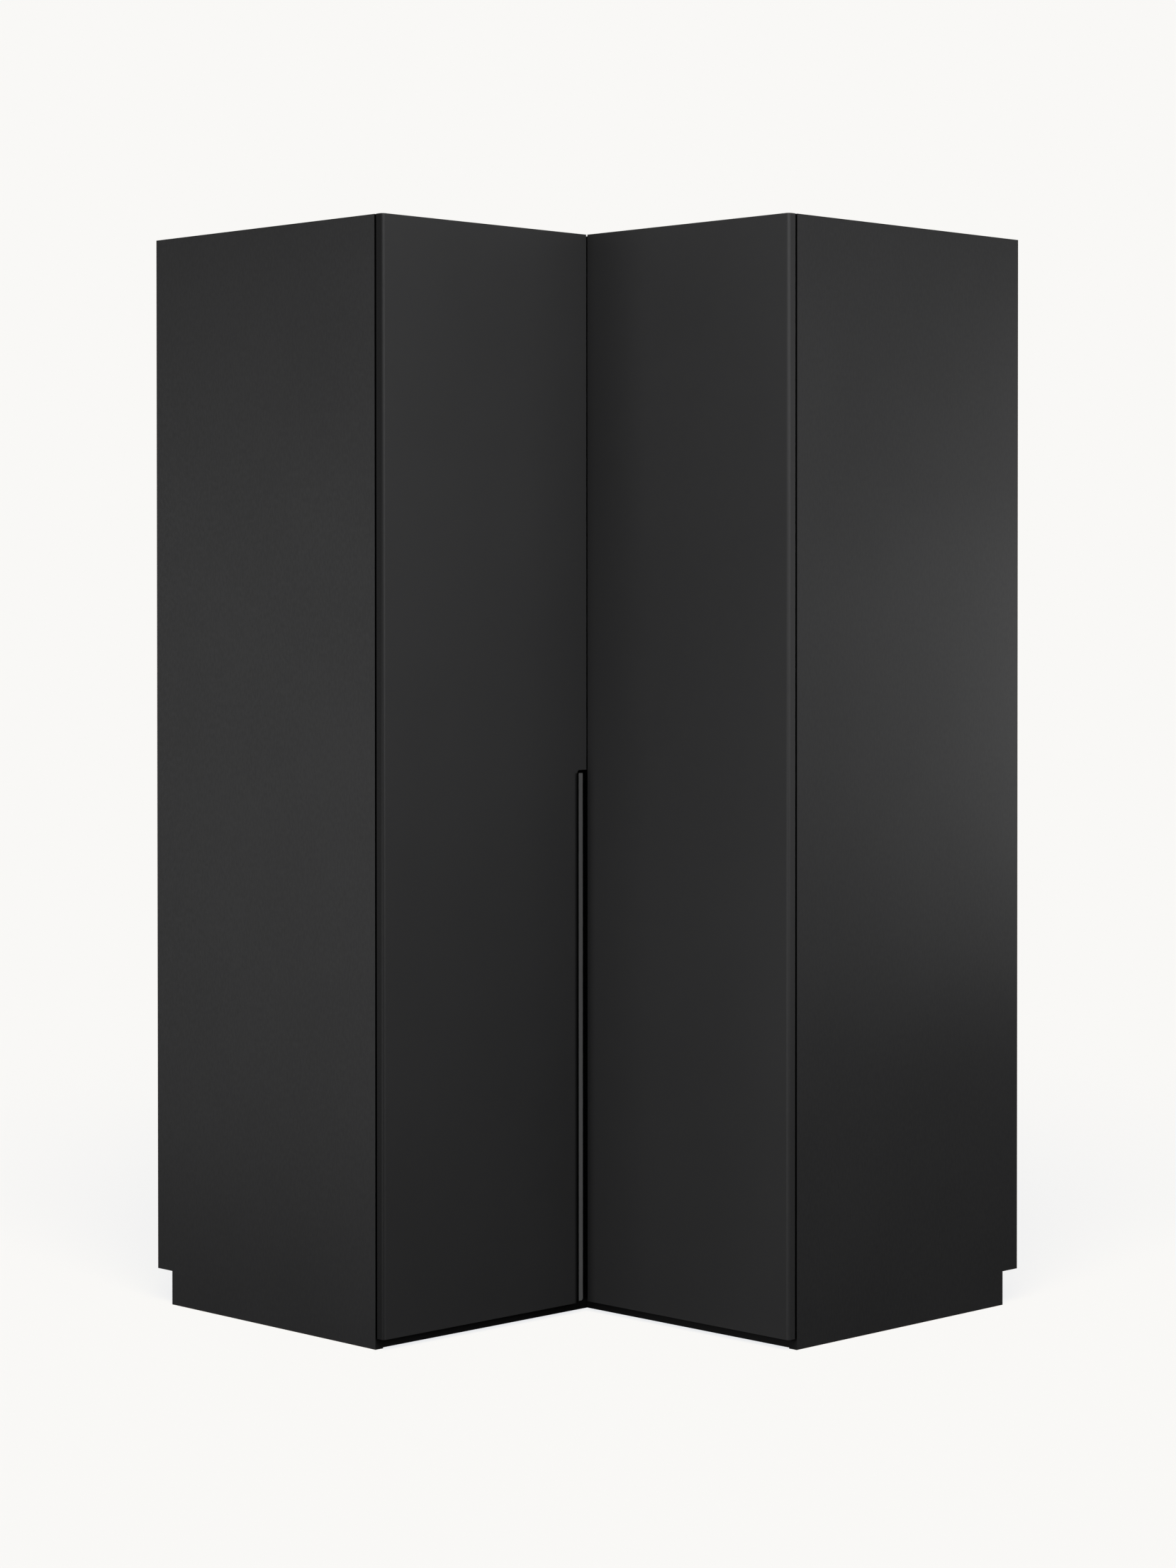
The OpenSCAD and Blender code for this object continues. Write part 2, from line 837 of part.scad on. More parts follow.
module cup_bores() {
    for (z = hinge_heights) {
        translate([cup_u, door_air - cut, z]) rotate([-90, 0, 0])
            cylinder(h = cup_depth + cut, r = cup_bore_r);
        for (side = [-1, 1]) {
            translate([cup_screw_u, door_air, z + side * cup_screw_z]) rotate([90, 0, 0])
                screw_hole();
        }
    }
}

module door_board() {
    difference() {
        translate([0, 0, door_bottom]) linear_extrude(door_height) door_plan();
        cup_bores();
    }
}

// What the grip's notch takes off the closing edge
module grip_notch() {
    low = door_bottom - cut;
    depth = door_thickness + 2 * cut;
    translate([notch_u + notch_corner_r, door_air - cut, low])
        cube([notch_width, depth, notch_top - low]);
    translate([notch_u, door_air - cut, low])
        cube([notch_width, depth, notch_top - notch_corner_r - low]);
    translate([notch_u + notch_corner_r, door_air - cut, notch_top - notch_corner_r])
        rotate([-90, 0, 0]) cylinder(h = depth, r = notch_corner_r);
}

module left_door() {
    color(door_black) in_left_wing() difference() {
        door_board();
        grip_notch();
        for (z = grip_screw_heights) {
            translate([notch_u, grip_screw_v, z]) rotate([0, 90, 0]) screw_hole();
        }
    }
}

module right_door() {
    color(door_black) in_right_wing() door_board();
}

// Grip profile in plan: a foot on the notch's edge, a web, a stem, the front flange and
// its lip
module grip_plan() {
    face = door_face_v - grip_recess;
    web = face - grip_web_depth;
    translate([notch_u, door_air + 1]) square([grip_wall, door_thickness - 3]);
    translate([notch_u, web]) square([grip_start_u + grip_wall - notch_u, grip_wall]);
    translate([grip_start_u, web]) square([grip_wall, grip_web_depth]);
    translate([grip_start_u, face - grip_wall]) square([grip_width, grip_wall]);
    translate([grip_end_u - grip_wall, face - grip_lip]) square([grip_wall, grip_lip]);
}

module grip_profile() {
    color(grip_grey) in_left_wing() difference() {
        translate([0, 0, grip_bottom]) linear_extrude(grip_top - grip_bottom) grip_plan();
        translate([grip_end_u, door_face_v + cut, grip_bottom]) rotate([90, 0, 0])
            linear_extrude(grip_lip + 2 * cut) mirror([1, 0]) corner_waste(grip_corner_r);
        for (z = grip_screw_heights) {
            translate([notch_u - cut, grip_screw_v, z]) rotate([0, 90, 0])
                cylinder(h = grip_wall + 2 * cut, r = screw_r);
        }
    }
}

module grip_screws() {
    color(steel) in_left_wing() for (z = grip_screw_heights) {
        translate([notch_u + grip_wall, grip_screw_v, z]) rotate([0, 90, 0])
            pan_screw(head_r = 3);
    }
}

module bumpers(edge_u) {
    color(clear_rubber) for (z = bumper_heights) {
        translate([edge_u - bumper_inset, bumper_gap, z]) rotate([-90, 0, 0]) {
            cylinder(h = 1, r1 = bumper_r - 1, r2 = bumper_r);
            translate([0, 0, 1]) cylinder(h = door_air - bumper_gap - 1, r = bumper_r);
        }
    }
}

module left_door_bumpers() in_left_wing() bumpers(notch_u);
module right_door_bumpers() in_right_wing() bumpers(notch_u);

// ---------- Hinges ----------

module at_hinges() {
    for (z = hinge_heights) {
        translate([0, 0, z]) children();
    }
}

// Flange of a cup in the u-z plane, seen from the door's back
module cup_flange() {
    translate([cup_u, 0]) circle(cup_lip_r);
    translate([cup_screw_u, 0]) oval(5.5, cup_screw_z);
}

module cup_shell() {
    difference() {
        union() {
            translate([0, door_air, 0]) rotate([90, 0, 0]) linear_extrude(cup_lip)
                cup_flange();
            translate([cup_u, door_air - cup_lip, 0]) rotate([-90, 0, 0])
                cylinder(h = cup_depth + cup_lip - 0.1, r = cup_bore_r - play);
        }
        translate([cup_u, door_air - cup_lip - cut, 0]) rotate([-90, 0, 0])
            cylinder(h = cup_depth + cup_lip + cut - cup_wall, r = cup_bore_r - cup_wall);
    }
}

module hinge_cups() {
    ear_low = pivot_v - 2.6;
    color(steel) at_hinges() difference() {
        union() {
            cup_shell();
            for (side = [-1, 1]) {
                translate([pivot_u - 2, ear_low, side * (pin_reach - ear / 2) - ear / 2])
                    cube([5, door_air + cup_depth - cup_wall / 2 - ear_low, ear]);
            }
        }
        translate([pivot_u, pivot_v, -pin_reach - 0.2])
            cylinder(h = 2 * pin_reach + 0.4, r = pin_r);
        for (side = [-1, 1]) {
            translate([cup_screw_u, door_air + cut, side * cup_screw_z]) rotate([90, 0, 0])
                cylinder(h = cup_lip + 2 * cut, r = screw_r);
        }
    }
}

module hinge_pins() {
    color(steel) at_hinges() translate([pivot_u, pivot_v, -pin_reach])
        cylinder(h = 2 * pin_reach, r = pin_r);
}

module hinge_arms() {
    drop_end = -14;
    color(steel) at_hinges() difference() {
        union() {
            translate([pivot_u, pivot_v, -eye_half_width])
                cylinder(h = 2 * eye_half_width, r = eye_r);
            translate([pivot_u, pivot_v - neck / 2, -eye_half_width])
                cube([neck_u - pivot_u + neck, neck, 2 * eye_half_width]);
            translate([neck_u, drop_end, -eye_half_width])
                cube([neck, pivot_v + neck / 2 - drop_end, 2 * eye_half_width]);
            translate([arm_top_u, arm_end_v, -arm_half_width])
                cube([arm_thickness, drop_end + 8 - arm_end_v, 2 * arm_half_width]);
            for (side = [-1, 1]) {
                translate([board + plate_thickness + 0.3, arm_end_v,
                           side * (arm_half_width - 0.6) - 0.6])
                    cube([3.5, drop_end + 8 - arm_end_v, 1.2]);
            }
        }
        translate([pivot_u, pivot_v, -eye_half_width - cut])
            cylinder(h = 2 * (eye_half_width + cut), r = pin_r + pin_clearance);
        translate([arm_top_u - cut, arm_screw_v, 0]) rotate([0, 90, 0])
            cylinder(h = arm_thickness + 2 * cut, r = screw_r);
    }
}

module hinge_plates() {
    color(zinc) at_hinges() difference() {
        union() {
            translate([board, -58, -6.6]) cube([plate_core_top - board, 42, 13.2]);
            translate([board, plate_screw_v, 0]) along_u(plate_thickness)
                oval(7, plate_screw_z);
        }
        for (side = [-1, 1]) {
            translate([board - cut, plate_screw_v, side * plate_screw_z]) rotate([0, 90, 0])
                cylinder(h = plate_thickness + 2 * cut, r = screw_r);
        }
        translate([board + 0.4, arm_screw_v, 0]) rotate([0, 90, 0])
            cylinder(h = plate_core_top - board, r = screw_r);
    }
}

module cup_screws() {
    color(steel) at_hinges() for (side = [-1, 1]) {
        translate([cup_screw_u, door_air - cup_lip, side * cup_screw_z])
            rotate([90, 0, 0]) pan_screw();
    }
}

module plate_screws() {
    color(steel) at_hinges() for (side = [-1, 1]) {
        translate([board + plate_thickness, plate_screw_v, side * plate_screw_z])
            rotate([0, 90, 0]) pan_screw();
    }
}

module arm_screws() {
    color(steel) at_hinges() translate([arm_top_u + arm_thickness, arm_screw_v, 0])
        rotate([0, 90, 0]) pan_screw(length = 6);
}

module left_hinge_cups() in_left_wing() hinge_cups();
module left_hinge_pins() in_left_wing() hinge_pins();
module left_hinge_arms() in_left_wing() hinge_arms();
module left_hinge_plates() in_left_wing() hinge_plates();
module left_cup_screws() in_left_wing() cup_screws();
module left_plate_screws() in_left_wing() plate_screws();
module left_arm_screws() in_left_wing() arm_screws();
module right_hinge_cups() in_right_wing() hinge_cups();
module right_hinge_pins() in_right_wing() hinge_pins();
module right_hinge_arms() in_right_wing() hinge_arms();
module right_hinge_plates() in_right_wing() hinge_plates();
module right_cup_screws() in_right_wing() cup_screws();
module right_plate_screws() in_right_wing() plate_screws();
module right_arm_screws() in_right_wing() arm_screws();

left_end_panel();
right_end_panel();
top_panel();
bottom_panel();
rear_corner_post();
inner_corner_post();
left_back_panel_outer();
left_back_panel_inner();
right_back_panel_outer();
right_back_panel_inner();
back_joint_strips();
hat_shelf();
shelf_supports();
left_clothes_rail();
right_clothes_rail();
rail_sockets();
rail_hangers();
rail_end_caps();
rail_screws();
left_plinth();
right_plinth();
plinth_brackets();
plinth_screws();
foot_sockets();
foot_spindles();
foot_pads();
cam_locks();
cam_bolts();
wood_dowels();
post_screws();
screw_caps();
wall_brackets();
wall_bracket_screws();
left_door();
right_door();
grip_profile();
grip_screws();
left_hinge_cups();
left_hinge_pins();
left_hinge_arms();
left_hinge_plates();
left_cup_screws();
left_plate_screws();
left_arm_screws();
right_hinge_cups();
right_hinge_pins();
right_hinge_arms();
right_hinge_plates();
right_cup_screws();
right_plate_screws();
right_arm_screws();
left_door_bumpers();
right_door_bumpers();
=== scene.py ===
"""Corner wardrobe: its finishes, fine edge detail, stage, lights and camera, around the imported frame.

Everything is in metres, in the frame's own axes: +Z up, origin on the floor under the middle of
the square that the L-shaped plan fills. The walls would stand at -X and +Y, and the inner corner
with both doors faces +X -Y.
"""

import json
import math

import bpy
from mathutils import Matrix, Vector

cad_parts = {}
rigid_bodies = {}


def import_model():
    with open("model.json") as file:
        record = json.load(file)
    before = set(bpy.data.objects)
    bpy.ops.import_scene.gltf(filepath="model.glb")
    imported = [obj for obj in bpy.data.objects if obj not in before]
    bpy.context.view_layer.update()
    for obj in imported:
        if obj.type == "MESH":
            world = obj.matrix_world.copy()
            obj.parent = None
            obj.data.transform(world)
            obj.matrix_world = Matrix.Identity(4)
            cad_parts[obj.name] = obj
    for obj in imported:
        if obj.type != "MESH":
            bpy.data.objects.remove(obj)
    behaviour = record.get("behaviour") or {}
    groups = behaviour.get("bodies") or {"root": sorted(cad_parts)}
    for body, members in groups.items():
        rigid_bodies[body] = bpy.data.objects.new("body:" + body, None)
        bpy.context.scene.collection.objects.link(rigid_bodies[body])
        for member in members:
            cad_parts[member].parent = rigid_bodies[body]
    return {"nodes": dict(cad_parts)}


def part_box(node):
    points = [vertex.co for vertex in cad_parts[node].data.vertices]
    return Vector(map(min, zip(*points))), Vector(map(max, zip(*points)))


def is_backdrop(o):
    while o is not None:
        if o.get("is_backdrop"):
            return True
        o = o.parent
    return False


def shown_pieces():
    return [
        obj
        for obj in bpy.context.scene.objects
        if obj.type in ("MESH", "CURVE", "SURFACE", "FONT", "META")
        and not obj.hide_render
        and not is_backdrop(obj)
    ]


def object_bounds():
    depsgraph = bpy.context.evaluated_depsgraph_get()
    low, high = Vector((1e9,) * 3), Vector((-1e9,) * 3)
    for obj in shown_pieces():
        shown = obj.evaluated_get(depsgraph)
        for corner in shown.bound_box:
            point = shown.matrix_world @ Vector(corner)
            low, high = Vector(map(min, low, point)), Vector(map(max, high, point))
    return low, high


MM = 0.001

for leftover in list(bpy.data.objects):
    bpy.data.objects.remove(leftover)

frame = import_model()
cad_low, cad_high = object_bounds()
nodes = frame["nodes"]


def srgb(level_r, level_g, level_b):
    """A display colour, 0 to 255 for each channel, as linear values with alpha."""
    def linear(level):
        share = level / 255
        return share / 12.92 if share <= 0.04045 else ((share + 0.055) / 1.055) ** 2.4

    return (linear(level_r), linear(level_g), linear(level_b), 1.0)


# ---------- Node helpers ----------

class Finish:
    """A material with one Principled shader, and short calls that add nodes to it."""

    def __init__(self, name, roughness=0.5, metallic=0.0, **uniform):
        self.material = bpy.data.materials.new(name)
        self.material.use_nodes = True
        self.tree = self.material.node_tree
        self.tree.nodes.clear()
        output = self.tree.nodes.new("ShaderNodeOutputMaterial")
        self.shader = self.tree.nodes.new("ShaderNodeBsdfPrincipled")
        self.link(self.shader.outputs["BSDF"], output.inputs["Surface"])
        self.shader.inputs["Roughness"].default_value = roughness
        self.shader.inputs["Metallic"].default_value = metallic
        for socket, value in uniform.items():
            self.shader.inputs[socket.replace("_", " ")].default_value = value
        self.place = self.tree.nodes.new("ShaderNodeTexCoord").outputs["Object"]

    def link(self, source, target):
        self.tree.links.new(source, target)

    def feed(self, target, value):
        """Links a node's output to a socket, or sets the socket's own value."""
        if isinstance(value, bpy.types.NodeSocket):
            self.link(value, target)
        else:
            target.default_value = value

    def math(self, operation, first, second=0.0, clamp=False):
        node = self.tree.nodes.new("ShaderNodeMath")
        node.operation = operation
        node.use_clamp = clamp
        self.feed(node.inputs[0], first)
        self.feed(node.inputs[1], second)
        return node.outputs[0]

    def stretch(self, scale, place=None):
        """The place coordinate, scaled on each axis."""
        node = self.tree.nodes.new("ShaderNodeMapping")
        node.inputs["Scale"].default_value = scale
        self.link(place or self.place, node.inputs["Vector"])
        return node.outputs["Vector"]

    def noise(self, size, detail=2.0, roughness=0.5, stretch=(1, 1, 1), place=None):
        """Noise whose lumps are about size metres across, stretched by a factor on each axis."""
        node = self.tree.nodes.new("ShaderNodeTexNoise")
        scale = [1 / (size * factor) for factor in stretch]
        node.inputs["Scale"].default_value = 1.0
        node.inputs["Detail"].default_value = detail
        node.inputs["Roughness"].default_value = roughness
        self.link(self.stretch(scale, place), node.inputs["Vector"])
        return node.outputs["Fac"]

    def cells(self, size, feature="F1", stretch=(1, 1, 1)):
        """Outputs of a Voronoi pattern whose cells are about size metres across."""
        node = self.tree.nodes.new("ShaderNodeTexVoronoi")
        node.feature = feature
        node.inputs["Scale"].default_value = 1.0
        self.link(self.stretch([1 / (size * f) for f in stretch]), node.inputs["Vector"])
        return node.outputs

    def ramp(self, value, low, high, out_low=0.0, out_high=1.0):
        """Smooth step from out_low at low to out_high at high."""
        node = self.tree.nodes.new("ShaderNodeMapRange")
        node.interpolation_type = "SMOOTHSTEP"
        self.feed(node.inputs["Value"], value)
        node.inputs["From Min"].default_value = low
        node.inputs["From Max"].default_value = high
        node.inputs["To Min"].default_value = out_low
        node.inputs["To Max"].default_value = out_high
        return node.outputs["Result"]

    def blend(self, share, first, second):
        """first where share is 0, second where it is 1. Either is a colour or a socket."""
        node = self.tree.nodes.new("ShaderNodeMix")
        node.data_type = "RGBA"
        self.feed(node.inputs[0], share)
        self.feed(node.inputs[6], first)
        self.feed(node.inputs[7], second)
        return node.outputs[2]

    def axes(self):
        """The place's X, Y and Z."""
        split = self.tree.nodes.new("ShaderNodeSeparateXYZ")
        self.link(self.place, split.inputs[0])
        return split.outputs

    def mean(self, *parts):
        """Sum of (value, weight) pairs."""
        total = None
        for value, weight in parts:
            share = self.math("MULTIPLY", value, weight)
            total = share if total is None else self.math("ADD", total, share)
        return total

    def pick(self, share, first, second):
        """Number that is first where share is 0 and second where it is 1."""
        node = self.tree.nodes.new("ShaderNodeMix")
        self.feed(node.inputs[0], share)
        self.feed(node.inputs[2], first)
        self.feed(node.inputs[3], second)
        return node.outputs[0]

    def facing(self, axis):
        """The object-space normal's share along an axis, 0 for X, 1 for Y or 2 for Z."""
        normal = self.tree.nodes.new("ShaderNodeTexCoord").outputs["Normal"]
        split = self.tree.nodes.new("ShaderNodeSeparateXYZ")
        self.link(normal, split.inputs[0])
        return split.outputs[axis]

    def bump(self, height, depth, strength=1.0, under=None):
        """Normal for a height from 0 to 1 over depth metres, on top of the normal under."""
        node = self.tree.nodes.new("ShaderNodeBump")
        node.inputs["Strength"].default_value = strength
        node.inputs["Distance"].default_value = depth
        self.link(height, node.inputs["Height"])
        if under is not None:
            self.link(under, node.inputs["Normal"])
        return node.outputs["Normal"]

    def surface(self, colour, roughness, normal):
        """The finished material, with its colour, roughness and normal joined up."""
        self.feed(self.shader.inputs["Base Color"], colour)
        self.feed(self.shader.inputs["Roughness"], roughness)
        self.link(normal, self.shader.inputs["Normal"])
        return self.material


# ---------- Finishes ----------

HALF_WALL = cad_high.x
TOUCHING = 0.3 * MM
ON_FLOOR = 0.2 * MM
FACING_UP = 0.9
FACING_FRONT = 0.6
BACK_BARE_FROM = HALF_WALL - 11.5 * MM
PLINTH_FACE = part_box("left_plinth")[1].x
CARCASS_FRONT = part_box("left_end_panel")[1].x
EDGE_BAND = 1.3 * MM
DOOR_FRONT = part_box("left_door")[1].x
DOOR_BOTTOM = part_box("left_door")[0].z
GRIP_RECESS = DOOR_FRONT - 0.75 * MM
NOTCH_FAR = -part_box("grip_profile")[0].y
NOTCH_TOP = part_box("grip_profile")[1].z + 6 * MM
SEAM_WIDTH = 24 * MM
CORNER_WIDTH = 170 * MM
# Near black for the edge band's line along the top, and for painted shade in the notch and on the
# grip's sunk faces.
BLACK_BAND_AND_SHADE = srgb(24, 24, 24.5)
BLACK_GLOSS = 0.8
SHADED_RIM = 12 * MM
NOTCH_CORNER_R = 4.5 * MM
RAW_CHIP_DARK = srgb(120, 92, 60)
RAW_CHIP_LIGHT = srgb(188, 158, 116)
BOARD_BROWN_DARK = srgb(84, 62, 44)
BOARD_BROWN_LIGHT = srgb(112, 86, 62)


def beyond_wall_distance(finish, distance):
    """1 where a point lies further than distance from the middle towards either wall."""
    place = finish.axes()
    reach = finish.math("MAXIMUM", finish.math("MULTIPLY", place["X"], -1), place["Y"])
    return finish.math("GREATER_THAN", reach, distance)


def raw_edges(finish, colour, gloss):
    """Bare chipboard on the edges that face the walls and the floor."""
    at_wall = beyond_wall_distance(finish, HALF_WALL - TOUCHING)
    at_floor = finish.math("LESS_THAN", finish.axes()["Z"], ON_FLOOR)
    raw = finish.math("MAXIMUM", at_wall, at_floor)
    chips = finish.cells(3.2 * MM, stretch=(1, 1, 0.45))
    fine = finish.noise(0.9 * MM, detail=3)
    share = finish.ramp(finish.math("MULTIPLY", chips["Distance"], finish.math("ADD", fine, 0.5)),
                        0.1, 0.7)
    chipboard = finish.blend(share, RAW_CHIP_LIGHT, RAW_CHIP_DARK)
    return finish.blend(raw, colour, chipboard), finish.pick(raw, gloss, 0.85)


def painted_gap_shade(finish, colour, gloss):
    """Painted shade on the faces that look out at the doors: near black where the doors cover them, and
    dark grey on the recessed plinth below.
    """
    x, y, z = finish.axes()
    outward = finish.math("MULTIPLY", y, -1)
    in_left_wing = finish.math("GREATER_THAN", outward, x)
    towards_front = finish.pick(in_left_wing, finish.math("MULTIPLY", finish.facing(1), -1),
                                finish.facing(0))
    reach = finish.math("MINIMUM", x, outward)
    near_front = finish.math("GREATER_THAN", reach, PLINTH_FACE - TOUCHING)
    # band marks the faces that look out at the doors, which get painted shade, not an edge band.
    band = finish.math("MULTIPLY", near_front, finish.math("GREATER_THAN", towards_front, FACING_FRONT))
    behind_door = finish.ramp(z, DOOR_BOTTOM - 6 * MM, DOOR_BOTTOM + 2 * MM)
    # Painted shade: near black in the gaps behind the doors, dark grey on the plinth under them.
    black = finish.blend(behind_door, srgb(54, 54, 54.5), srgb(7, 7, 7))
    return finish.blend(band, colour, black), finish.pick(band, gloss, 0.75), band


def band_line(finish, colour):
    """The edge bands' thickness, a thin darker line along the top and front of the outer faces."""
    x, y, z = finish.axes()
    reach = finish.math("MINIMUM", x, finish.math("MULTIPLY", y, -1))
    at_front = finish.math("GREATER_THAN", reach, CARCASS_FRONT - EDGE_BAND)
    upright = finish.math("LESS_THAN", finish.facing(2), FACING_UP)
    at_top = finish.math("GREATER_THAN", z, cad_high.z - EDGE_BAND)
    at_top = finish.math("MULTIPLY", at_top, upright)
    colour = finish.blend(at_front, colour, srgb(40, 40, 40.5))
    return finish.blend(at_top, colour, BLACK_BAND_AND_SHADE)


def carcass_laminate():
    """Matt black laminate: fine pebbles, faint upright mottling and a slow cloud in the tone, with
    painted shade on the faces that look out at the doors.
    """
    finish = Finish("carcass_finish", Specular_IOR_Level=0.33)
    pebbles = finish.cells(1.1 * MM, feature="SMOOTH_F1")["Distance"]
    mottle = finish.noise(3.6 * MM, detail=2, stretch=(1, 1, 2.6))
    cloud = finish.noise(0.25, detail=3)
    tone = finish.mean((mottle, 0.7), (cloud, 0.3))
    colour = finish.blend(finish.ramp(tone, 0.3, 0.7), srgb(42, 42, 42.5), srgb(48, 48, 48.5))
    gloss = finish.ramp(mottle, 0.3, 0.7, 0.38, 0.33)
    colour, gloss = raw_edges(finish, colour, gloss)
    colour = band_line(finish, colour)
    colour, gloss, band = painted_gap_shade(finish, colour, gloss)
    upward = finish.math("GREATER_THAN", finish.facing(2), FACING_UP)
    gloss = finish.pick(upward, gloss, 0.62)
    # A metallic share takes the reflection away: full on the painted gap and plinth shade, and half on
    # faces that look up, which makes the top duller.
    painted_shade_metallic = finish.math("MAXIMUM", band, finish.math("MULTIPLY", upward, 0.5))
    finish.feed(finish.shader.inputs["Metallic"], painted_shade_metallic)
    normal = finish.bump(pebbles, 0.06 * MM, 0.3)
    normal = finish.bump(mottle, 0.12 * MM, 0.3, under=normal)
    return finish.surface(colour, gloss, normal)


def painted_notch_shade(finish):
    """1 on the door edges inside the finger notch, which get painted shade in near black."""
    x, y, z = finish.axes()
    outward = finish.math("MULTIPLY", y, -1)
    sunk = finish.math("LESS_THAN", finish.math("MINIMUM", x, outward), GRIP_RECESS)
    near = finish.math("LESS_THAN", finish.math("MAXIMUM", x, outward), NOTCH_FAR + TOUCHING)
    low = finish.math("LESS_THAN", z, NOTCH_TOP + TOUCHING)
    return finish.math("MULTIPLY", finish.math("MULTIPLY", sunk, near), low)


def rim_shade(finish):
    """Share of painted shade on the left door's rim beside the notch: 1 at the notch, fading to 0 over
    the rim's width.
    """
    x, y, z = finish.axes()
    outward = finish.math("MULTIPLY", y, -1)
    share = finish.ramp(outward, NOTCH_FAR, NOTCH_FAR + SHADED_RIM, 1.0, 0.0)
    rim_top = NOTCH_TOP - NOTCH_CORNER_R
    zone = finish.ramp(z, rim_top - 2 * MM, rim_top, 1.0, 0.0)
    zone = finish.math("MULTIPLY", zone, finish.math("GREATER_THAN", outward, x))
    return finish.math("MULTIPLY", finish.math("MULTIPLY", share, share), zone)


def right_door_painted_shades(finish):
    """Shares of two soft painted shades on the right door: a narrow one along the closing edge,
    stronger beside the notch, and a wide one towards the inner corner that grows with height."""
    x, y, z = finish.axes()
    on_right = finish.math("GREATER_THAN", x, finish.math("MULTIPLY", y, -1))
    from_seam = finish.math("SUBTRACT", x, DOOR_FRONT)
    beside_notch = finish.ramp(z, NOTCH_TOP - 60 * MM, NOTCH_TOP + 60 * MM, 0.85, 0.4)
    seam_shade = finish.math("MULTIPLY", finish.ramp(from_seam, 0.0, SEAM_WIDTH, 1.0, 0.0), beside_notch)
    rising = finish.ramp(z, 0.7, 1.8)
    corner = finish.math("MULTIPLY", finish.ramp(from_seam, 0.0, CORNER_WIDTH, 1.0, 0.0), rising)
    return finish.math("MULTIPLY", seam_shade, on_right), finish.math("MULTIPLY", corner, on_right)


def door_foil():
    """Super-matt black foil over a smooth board, with only a breath of orange peel. Painted shade
    darkens the left door's outer edge, its rim beside the notch and the inside of the notch, and
    the right door towards the closing edge and the inner corner."""
    finish = Finish("door_finish", Specular_IOR_Level=0.33)
    grain = finish.noise(0.7 * MM, detail=3)
    peel = finish.noise(6 * MM, detail=2, stretch=(1, 1, 1.6))
    cloud = finish.noise(0.3, detail=3)
    tone = finish.mean((grain, 0.4), (peel, 0.2), (cloud, 0.4))
    colour = finish.blend(finish.ramp(tone, 0.35, 0.65), srgb(43.5, 43.5, 44), srgb(46.5, 46.5, 47))
    gloss = finish.ramp(peel, 0.3, 0.7, 0.48, 0.52)
    outward = finish.math("MULTIPLY", finish.axes()["Y"], -1)
    outer_edge_shade = finish.ramp(outward, HALF_WALL - 4.5 * MM, HALF_WALL - 1 * MM)
    seam_shade, corner = right_door_painted_shades(finish)
    rim = rim_shade(finish)
    notch = painted_notch_shade(finish)
    # Painted shade on the left door's outer edge and its rounding.
    colour = finish.blend(outer_edge_shade, colour, srgb(31, 31, 31.5))
    # Painted shade along the right door's closing edge and, wider, towards the inner corner.
    colour = finish.blend(seam_shade, colour, srgb(30, 30, 30.5))
    colour = finish.blend(finish.math("MULTIPLY", corner, 0.45), colour, srgb(28, 28, 28.5))
    # Painted shade on the left door's rim beside the notch.
    colour = finish.blend(rim, colour, srgb(14, 14, 14.5))
    # Painted shade, near black, on the door edges inside the notch.
    colour = finish.blend(notch, colour, BLACK_BAND_AND_SHADE)
    gloss = finish.pick(notch, gloss, BLACK_GLOSS)
    # A metallic share takes the plain white reflection away from these painted shades, which leaves a
    # deader black.
    painted_shade_metallic = finish.mean((outer_edge_shade, 0.45), (corner, 0.12), (seam_shade, 0.2), (rim, 0.8))
    finish.feed(finish.shader.inputs["Metallic"], finish.math("MAXIMUM", notch, painted_shade_metallic))
    normal = finish.bump(grain, 0.03 * MM, 0.3)
    normal = finish.bump(peel, 0.06 * MM, 0.25, under=normal)
    return finish.surface(colour, gloss, normal)


def linen(finish):
    """Woven linen print: upright and level threads of uneven weight, on faces of any direction."""
    thread = 0.55 * MM
    run = 18
    level = finish.noise(thread, detail=2, stretch=(run, run, 1))
    upright = finish.noise(thread, detail=2, stretch=(1, 1, run))
    lying = finish.noise(thread, detail=2, stretch=(1, run, 1))
    standing = finish.mean((level, 0.5), (upright, 0.5))
    is_lying = finish.math("GREATER_THAN", finish.math("ABSOLUTE", finish.facing(2)), 0.7)
    return finish.pick(is_lying, standing, lying)


def interior_laminate():
    """Dark grey laminate printed as linen, bare at the walls, with painted shade (near black) where it
    faces the doors.
    """
    finish = Finish("interior_finish", Specular_IOR_Level=0.45)
    weave = linen(finish)
    cloud = finish.noise(0.3, detail=3)
    tone = finish.mean((weave, 0.8), (cloud, 0.2))
    colour = finish.blend(finish.ramp(tone, 0.38, 0.62), srgb(42, 42, 43), srgb(64, 64, 65))
    gloss = finish.ramp(weave, 0.35, 0.65, 0.52, 0.44)
    colour, gloss = raw_edges(finish, colour, gloss)
    # Painted shade, near black and deadened by a metallic share, on the faces that look out at the
    # doors.
    colour, gloss, band = painted_gap_shade(finish, colour, gloss)
    finish.feed(finish.shader.inputs["Metallic"], band)
    return finish.surface(colour, gloss, finish.bump(weave, 0.08 * MM, 0.4))


